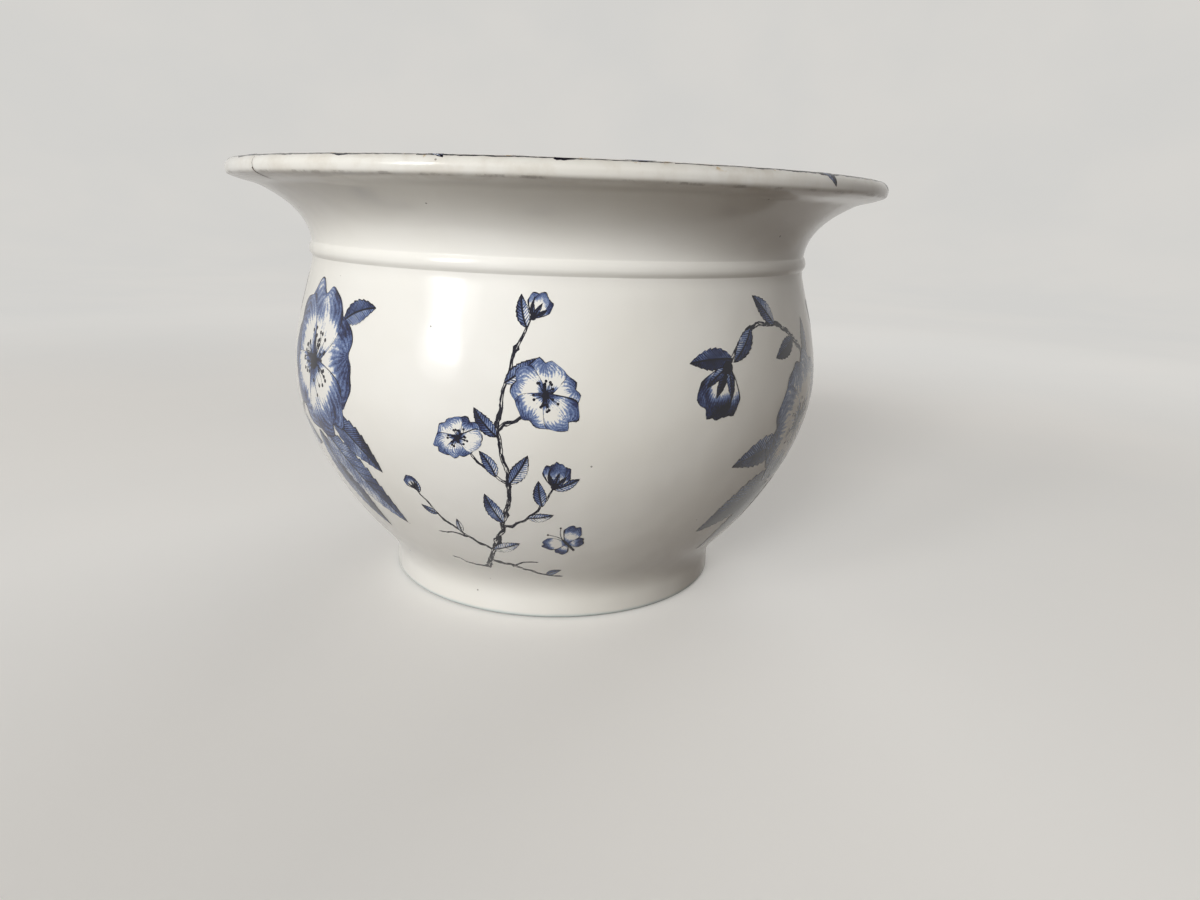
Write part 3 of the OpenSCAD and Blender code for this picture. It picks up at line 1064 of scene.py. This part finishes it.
def rim_sprays(surface, ink):
    """Sprays on the top of the rim. Height is from the lip's outer edge, inwards over its top."""
    for number, angle in enumerate((-66, -4, 54, 122, 200)):
        sheet = Sheet(50 + number)
        sheet.leafy([(-40, 17), (-20, 10), (2, 14), (22, 9), (40, 17)], 1.3, 0.8, 9, 12)
        sheet.blossom(-6, 17, 9.5, 30 + 20 * number, (0.85, 90))
        sheet.blossom(15, 19, 7.5, 10 * number, (0.8, 60))
        sheet.bud(40, 17, 25, 8)
        sheet.press(f"print_rim_{number + 1}", surface, angle, ink)


def handle_vine(strap, ink):
    """A leafy stem down the outer face of the handle."""
    sheet = Sheet(61)
    top = TERMINAL_LEN
    bottom = strap.total - TERMINAL_LEN
    step = (bottom - top) / 5
    stem = [(2.2 * (-1) ** k, top + k * step) for k in range(6)]
    sheet.leafy(stem, 1.0, 0.6, 12, 6.5)
    sheet.blossom(0, top + 2.4 * step, 4.8, 30, (0.9, 0))
    sheet.bud(stem[-1][0], bottom, 90, 6)
    sheet.press("print_handle", strap, 0, ink)


def lip_line(surface, ink):
    """A line round the outer shoulder of the lip, thicker in places, with worn gaps and a few dashes."""
    shoulder = surface.leaning(LINE_LEAN)
    sheet = Sheet(90)
    around = 2 * math.pi * surface.reference_r
    x = 0.0
    while x < around:
        end = min(x + sheet.random.uniform(30, 75), around)
        places = np.linspace(x, end, 2 + int((end - x) / 4))
        heights = shoulder + sheet.random.normal(0, 0.1, len(places))
        wide = sheet.random.uniform(0.25, 0.8)
        sheet.stroke(list(zip(places, heights)), wide, sheet.random.uniform(0.25, 0.8), INK, 0, 0.22)
        x = end + sheet.random.uniform(-0.8, 0.8)
    for place in (22, 41, 66, 118, 180, 260, 345, 420, 510, 600, 664):
        dash = [(place, shoulder), (place + 2, shoulder - 0.5), (place + 6, shoulder - 0.1)]
        sheet.stroke(dash, 1.0, 0.7, INK, 2, 0.2)
    sheet.press("print_lip_line", surface, -90, ink)


def crack_material():
    n = Nodes("hairline_crack")
    stain = n.patches(n.place(), 900.0, 3.0, 0.35, 0.65)
    n.shader.inputs["Specular IOR Level"].default_value = 0.1
    return n.shade(n.mix(stain, CRACK, CRACK_PALE), n.add(0.6, n.times(stain, 0.3)))


def lip_crack(surface, material):
    """The hairline that runs down the lip and opens at its lower edge."""
    sheet = Sheet(95)
    sheet.stroke([(-0.5, 2.4), (-0.6, 1.0), (-0.2, -0.6), (0.3, -2.2)], 0.14, 0.26, INK, 3, 0.3)
    sheet.stroke([(-0.4, -0.7), (0.0, -1.7), (0.0, -3.4), (-1.6, -7.6)], 0.7, 0.45, INK, 12, 0.3)
    sheet.press("lip_crack", surface, -49.5, material, "white_glaze")


# Stage, light and camera

# The camera as measured from the photograph's outlines, in pixels, millimetres and degrees
PHOTO_W = 1200
FOCAL_PX = 869.7
CAMERA_AWAY = 339.9
CAMERA_HEIGHT = 138.2
CAMERA_PITCH = math.radians(15.47)
CAMERA_YAW = math.radians(2.995)
CAMERA_ROLL = math.radians(2.118)

# The stage in metres, with how strongly it glows
LIT_EDGE = (0.3, 0.95)
GLOW_EDGE = (0.29, 0.92)
FLOOR_EDGE = 1.5
WALL_EDGE = 2.3
WALL_TOP = 2.6
STAGE_SIDES = 96
NEAR_GLOW = 0.3
FAR_GLOW = 0.98
LAMP_TINT = (0.985, 0.995, 1.0)
LAMP_AIM = 0.08
FILL_COLOUR = colour(255, 210, 154)
FILL_STRENGTH = 0.05


def set_camera():
    data = bpy.data.cameras.new("camera")
    data.sensor_width = 36.0
    data.lens = FOCAL_PX / PHOTO_W * data.sensor_width
    data.clip_start = 0.01
    camera = linked("camera", data)
    level = Vector((math.cos(CAMERA_YAW), -math.sin(CAMERA_YAW), 0))
    ahead = Vector((math.sin(CAMERA_YAW), math.cos(CAMERA_YAW), 0)) * math.cos(CAMERA_PITCH)
    ahead -= Vector((0, 0, math.sin(CAMERA_PITCH)))
    above = level.cross(ahead)
    right = level * math.cos(CAMERA_ROLL) + above * math.sin(CAMERA_ROLL)
    up = above * math.cos(CAMERA_ROLL) - level * math.sin(CAMERA_ROLL)
    turn = Matrix((right, up, -ahead)).transposed().to_4x4()
    camera.matrix_world = Matrix.Translation((0, -CAMERA_AWAY * MM, CAMERA_HEIGHT * MM)) @ turn
    bpy.context.scene.camera = camera


def area_light(name, shape, azimuth, elevation, distance, width, height, watts, mirrored=False):
    """A soft light that faces the pot, in degrees and metres.

    Azimuth 0 is towards the camera and positive is to the right.
    """
    data = bpy.data.lights.new(name, "AREA")
    data.shape = shape
    data.size = width
    data.size_y = height
    data.energy = watts
    data.color = LAMP_TINT
    lamp = linked(name, data)
    lamp.visible_camera = False
    lamp.visible_glossy = mirrored
    a = math.radians(azimuth)
    e = math.radians(elevation)
    aim = Vector((0, 0, LAMP_AIM))
    way = Vector((math.sin(a) * math.cos(e), -math.cos(a) * math.cos(e), math.sin(e)))
    lamp.location = aim + way * distance
    lamp.rotation_euler = way.to_track_quat("Z", "Y").to_euler()


def pale_material():
    """Pale where it is seen, and darker in the light that it throws back on the pot.

    The lamps light it near the pot, where it takes the shadow. Further out it only glows, evenly.
    """
    n = Nodes("pale_stage")
    ray = n.node("LightPath").outputs
    seen = n.math("MAXIMUM", ray["Is Camera Ray"], ray["Is Glossy Ray"])
    seen = n.math("MAXIMUM", seen, ray["Is Transmission Ray"])
    place = n.place()
    pale = n.mix(n.patches(place, 3.0, 4.0, 0.3, 0.7), FLOOR_PALE, FLOOR_WARM)
    away = n.off_axis(place)
    lit = n.mix(seen, FLOOR_BOUNCE, pale)
    glow = n.add(NEAR_GLOW, n.times(n.smooth(away, *GLOW_EDGE), FAR_GLOW - NEAR_GLOW))
    n.put(pale, n.shader.inputs["Emission Color"])
    n.put(n.times(seen, glow), n.shader.inputs["Emission Strength"])
    n.shader.inputs["Specular IOR Level"].default_value = 0.0
    return n.shade(n.mix(n.smooth(away, *LIT_EDGE), lit, BLACK), 0.9)


def stage_piece(name, outline, material):
    """A surface swept round the axis from distances and heights in metres."""
    angle = full_turn(STAGE_SIDES)
    points = [(r * math.cos(a) / MM, r * math.sin(a) / MM, z / MM) for r, z in outline for a in angle]
    piece = new_object(name, points, ring_faces(len(outline), STAGE_SIDES))
    piece.data.materials.append(material)
    return piece


def set_stage():
    """A pale floor inside a round wall that it sweeps up into. The wall lets the light through."""
    material = pale_material()
    stage_piece("floor", [(0.001, 0), (0.3, 0), (0.8, 0), (FLOOR_EDGE, 0)], material)
    turn = np.linspace(0, math.pi / 2, 15)
    radius = WALL_EDGE - FLOOR_EDGE
    sweep = [(FLOOR_EDGE + radius * math.sin(t), radius * (1 - math.cos(t))) for t in turn]
    wall = stage_piece("backdrop", sweep + [(WALL_EDGE, WALL_TOP)], material)
    wall.visible_shadow = False
    wall.visible_diffuse = False
    world = bpy.data.worlds.new("studio")
    world.use_nodes = True
    back = world.node_tree.nodes["Background"]
    back.inputs["Color"].default_value = FILL_COLOUR
    back.inputs["Strength"].default_value = FILL_STRENGTH
    bpy.context.scene.world = world


set_camera()
set_stage()
area_light("window", "RECTANGLE", -47, 21, 1.5, 0.3, 0.5, 4.2, mirrored=True)
area_light("window_edge", "ELLIPSE", -47, 20, 1.52, 0.6, 0.84, 2, mirrored=True)
area_light("front", "RECTANGLE", -24, 19, 2.0, 0.6, 0.9, 30)
area_light("back", "RECTANGLE", 155, 30, 2.0, 1.6, 1.0, 22)

glaze = glaze_material()
ink = print_material()
pot_pieces(glaze, foot_material(), rim_material())
strap = Strap()
handle_pieces(glaze, strap)

belly_surface = Surface(OUTSIDE.part(SEAM), BELLY_R)
lip_tip = int(np.argmax(RIM.points[:, 0]))
rim_surface = Surface(RIM.part(lip_tip - UNDER_STEPS), RIM_R, UNDER_STEPS)
front_spray(belly_surface, ink)
left_spray(belly_surface, ink)
right_spray(belly_surface, ink)
back_sprigs(belly_surface, ink)
handle_vine(strap, ink)
rim_sprays(rim_surface, ink)
lip_line(rim_surface, ink)
lip_crack(rim_surface, crack_material())

bpy.context.scene.view_settings.view_transform = "Standard"
